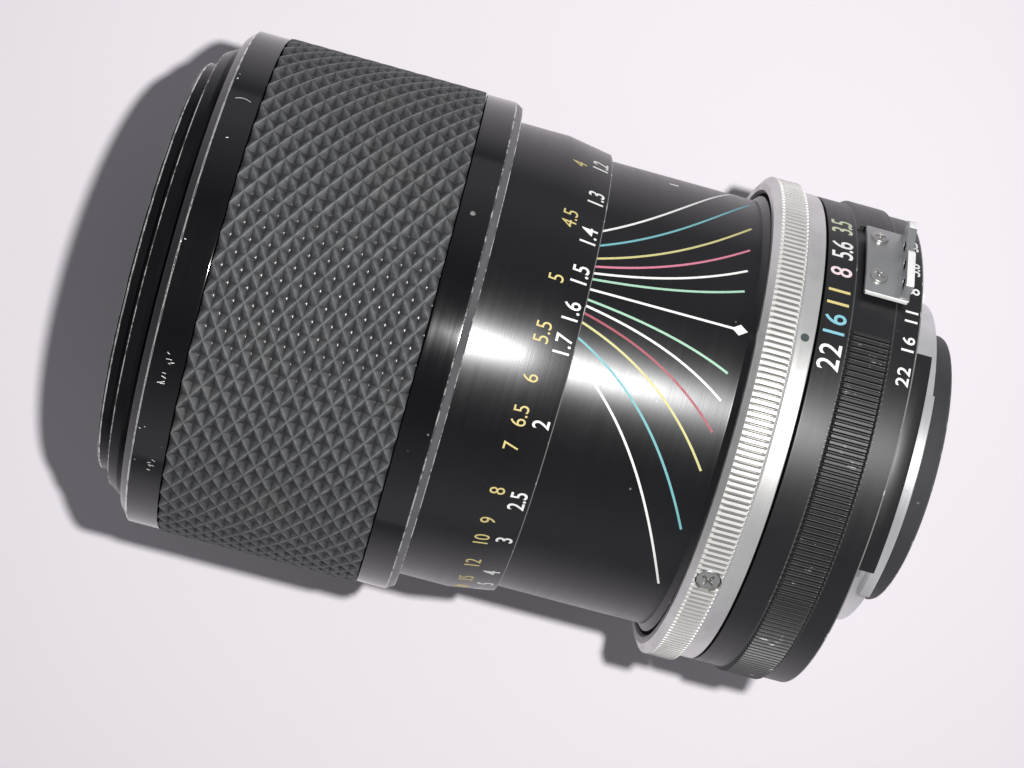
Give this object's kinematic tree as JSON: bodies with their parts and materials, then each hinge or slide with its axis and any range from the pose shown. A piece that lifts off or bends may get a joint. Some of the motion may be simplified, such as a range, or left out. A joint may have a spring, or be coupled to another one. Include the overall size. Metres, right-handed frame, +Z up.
{
  "type": "zoom camera lens",
  "caption": "Push-pull zoom lens with a rubber-gripped collar, coloured depth-of-field curves, an aperture ring with a coupling prong and a bayonet mount.",
  "frame": {"origin": "bottom centre of the bounding box, on the surface that the lens lies on", "axes": "+X along the optical axis towards the bayonet mount, +Z up, +Y towards the side that the coupling prong leans to"},
  "size_m": [0.1024, 0.066, 0.0661],
  "materials": {
    "black_anodised": "satin black anodised aluminium, worn bright on its edges",
    "matt_black": "matt black anodised aluminium",
    "rubber": "dark grey moulded rubber with a diamond pattern",
    "satin_aluminium": "satin clear-anodised aluminium",
    "chromed_brass": "satin chromed brass",
    "steel": "bright steel",
    "brass": "turned brass",
    "glass": "coated optical glass",
    "blade_steel": "blackened spring steel"
  },
  "bodies": {
    "root": {"guide_barrel": "matt_black", "scale_barrel": "black_anodised", "index_grip_ring": "satin_aluminium", "grip_screw_1": "steel", "grip_screw_2": "steel", "grip_screw_3": "steel", "mount_housing": "matt_black", "click_ball": "steel", "bayonet_mount": "chromed_brass", "mount_screw_1": "steel", "mount_screw_2": "steel", "mount_screw_3": "steel", "mount_screw_4": "steel", "mount_screw_5": "steel", "rear_baffle": "matt_black", "stop_down_spring": "steel"},
    "zoom": {"zoom_carriage": "brass", "zoom_roller_1": "steel", "zoom_roller_2": "steel", "zoom_roller_3": "steel"},
    "focus": {"focus_collar": "black_anodised", "rubber_grip": "rubber", "distance_scale_ring": "black_anodised", "collar_retaining_ring": "brass", "collar_set_screw_1": "steel", "collar_set_screw_2": "steel", "collar_set_screw_3": "steel", "focus_key_1": "brass", "focus_key_2": "brass"},
    "front_group": {"filter_ring": "black_anodised", "front_bezel": "black_anodised", "beauty_ring": "matt_black", "front_cell": "matt_black", "front_element_1": "glass", "front_element_2": "glass", "front_element_3": "glass"},
    "cam": {"cam_tube": "brass"},
    "rear_group": {"rear_group_carrier": "matt_black", "rear_roller_1": "steel", "rear_roller_2": "steel", "rear_roller_3": "steel", "rear_element_1": "glass", "rear_element_2": "glass", "rear_element_3": "glass", "rear_retaining_ring": "matt_black", "iris_housing": "matt_black", "iris_retaining_ring": "matt_black"},
    "iris_drive": {"iris_drive_ring": "steel"},
    "aperture": {"aperture_ring": "black_anodised", "coupling_prong": "satin_aluminium", "prong_screw_1": "steel", "prong_screw_2": "steel", "aperture_link_bar": "steel"},
    "stop_down": {"stop_down_lever": "steel"},
    "blade_1": {"iris_blade_1": "blade_steel"},
    "blade_2": {"iris_blade_2": "blade_steel"},
    "blade_3": {"iris_blade_3": "blade_steel"},
    "blade_4": {"iris_blade_4": "blade_steel"},
    "blade_5": {"iris_blade_5": "blade_steel"},
    "blade_6": {"iris_blade_6": "blade_steel"}
  },
  "joints": [
    {"name": "zoom_slide", "type": "slide", "parent": "root", "child": "zoom", "axis": [1, 0, 0], "range_m": [0, 0.018]},
    {"name": "focus_turn", "type": "hinge", "parent": "zoom", "child": "focus", "pos_m": [-0.02515, 0, 0.03304], "axis": [1, 0, 0], "range_deg": [-127.6, 40.4]},
    {"name": "front_extension", "type": "slide", "parent": "focus", "child": "front_group", "axis": [-1, 0, 0], "range_m": [-0.0035, 0.00112]},
    {"name": "cam_turn", "type": "hinge", "parent": "root", "child": "cam", "pos_m": [0.00485, 0, 0.03304], "axis": [1, 0, 0], "range_deg": [0, 60.1]},
    {"name": "rear_slide", "type": "slide", "parent": "root", "child": "rear_group", "axis": [1, 0, 0], "range_m": [0, 0.0199]},
    {"name": "aperture_turn", "type": "hinge", "parent": "root", "child": "aperture", "pos_m": [0.03585, 0, 0.03304], "axis": [1, 0, 0], "range_deg": [0, 40]},
    {"name": "iris_drive_turn", "type": "hinge", "parent": "rear_group", "child": "iris_drive", "pos_m": [-0.0065, 0, 0.03304], "axis": [1, 0, 0], "range_deg": [0, 40.1]},
    {"name": "stop_down_push", "type": "hinge", "parent": "root", "child": "stop_down", "pos_m": [0.04085, 0, 0.03304], "axis": [1, 0, 0], "range_deg": [0, 14], "stiffness_Nm_per_rad": 0.05, "springref_deg": -8.59},
    {"name": "blade_1_turn", "type": "hinge", "parent": "rear_group", "child": "blade_1", "pos_m": [-0.00285, 0, 0.04824], "axis": [1, 0, 0], "range_deg": [0, 29.6]},
    {"name": "blade_2_turn", "type": "hinge", "parent": "rear_group", "child": "blade_2", "pos_m": [-0.00335, 0.01316, 0.04064], "axis": [1, 0, 0], "range_deg": [0, 29.6]},
    {"name": "blade_3_turn", "type": "hinge", "parent": "rear_group", "child": "blade_3", "pos_m": [-0.00385, 0.01316, 0.02544], "axis": [1, 0, 0], "range_deg": [0, 29.6]},
    {"name": "blade_4_turn", "type": "hinge", "parent": "rear_group", "child": "blade_4", "pos_m": [-0.00435, 0, 0.01784], "axis": [1, 0, 0], "range_deg": [0, 29.6]},
    {"name": "blade_5_turn", "type": "hinge", "parent": "rear_group", "child": "blade_5", "pos_m": [-0.00485, -0.01316, 0.02544], "axis": [1, 0, 0], "range_deg": [0, 29.6]},
    {"name": "blade_6_turn", "type": "hinge", "parent": "rear_group", "child": "blade_6", "pos_m": [-0.00535, -0.01316, 0.04064], "axis": [1, 0, 0], "range_deg": [0, 29.6]}
  ],
  "couplings": [
    {"joint": "front_extension", "follows": "focus_turn", "m_per_rad": 0.001569},
    {"joint": "cam_turn", "follows": "zoom_slide", "rad_per_m": 58.178},
    {"joint": "rear_slide", "follows": "zoom_slide", "ratio": 1.1},
    {"joint": "iris_drive_turn", "follows": "aperture_turn", "ratio": 1},
    {"joint": "blade_1_turn", "follows": "aperture_turn", "ratio": 0.7375},
    {"joint": "blade_2_turn", "follows": "aperture_turn", "ratio": 0.7375},
    {"joint": "blade_3_turn", "follows": "aperture_turn", "ratio": 0.7375},
    {"joint": "blade_4_turn", "follows": "aperture_turn", "ratio": 0.7375},
    {"joint": "blade_5_turn", "follows": "aperture_turn", "ratio": 0.7375},
    {"joint": "blade_6_turn", "follows": "aperture_turn", "ratio": 0.7375}
  ]
}
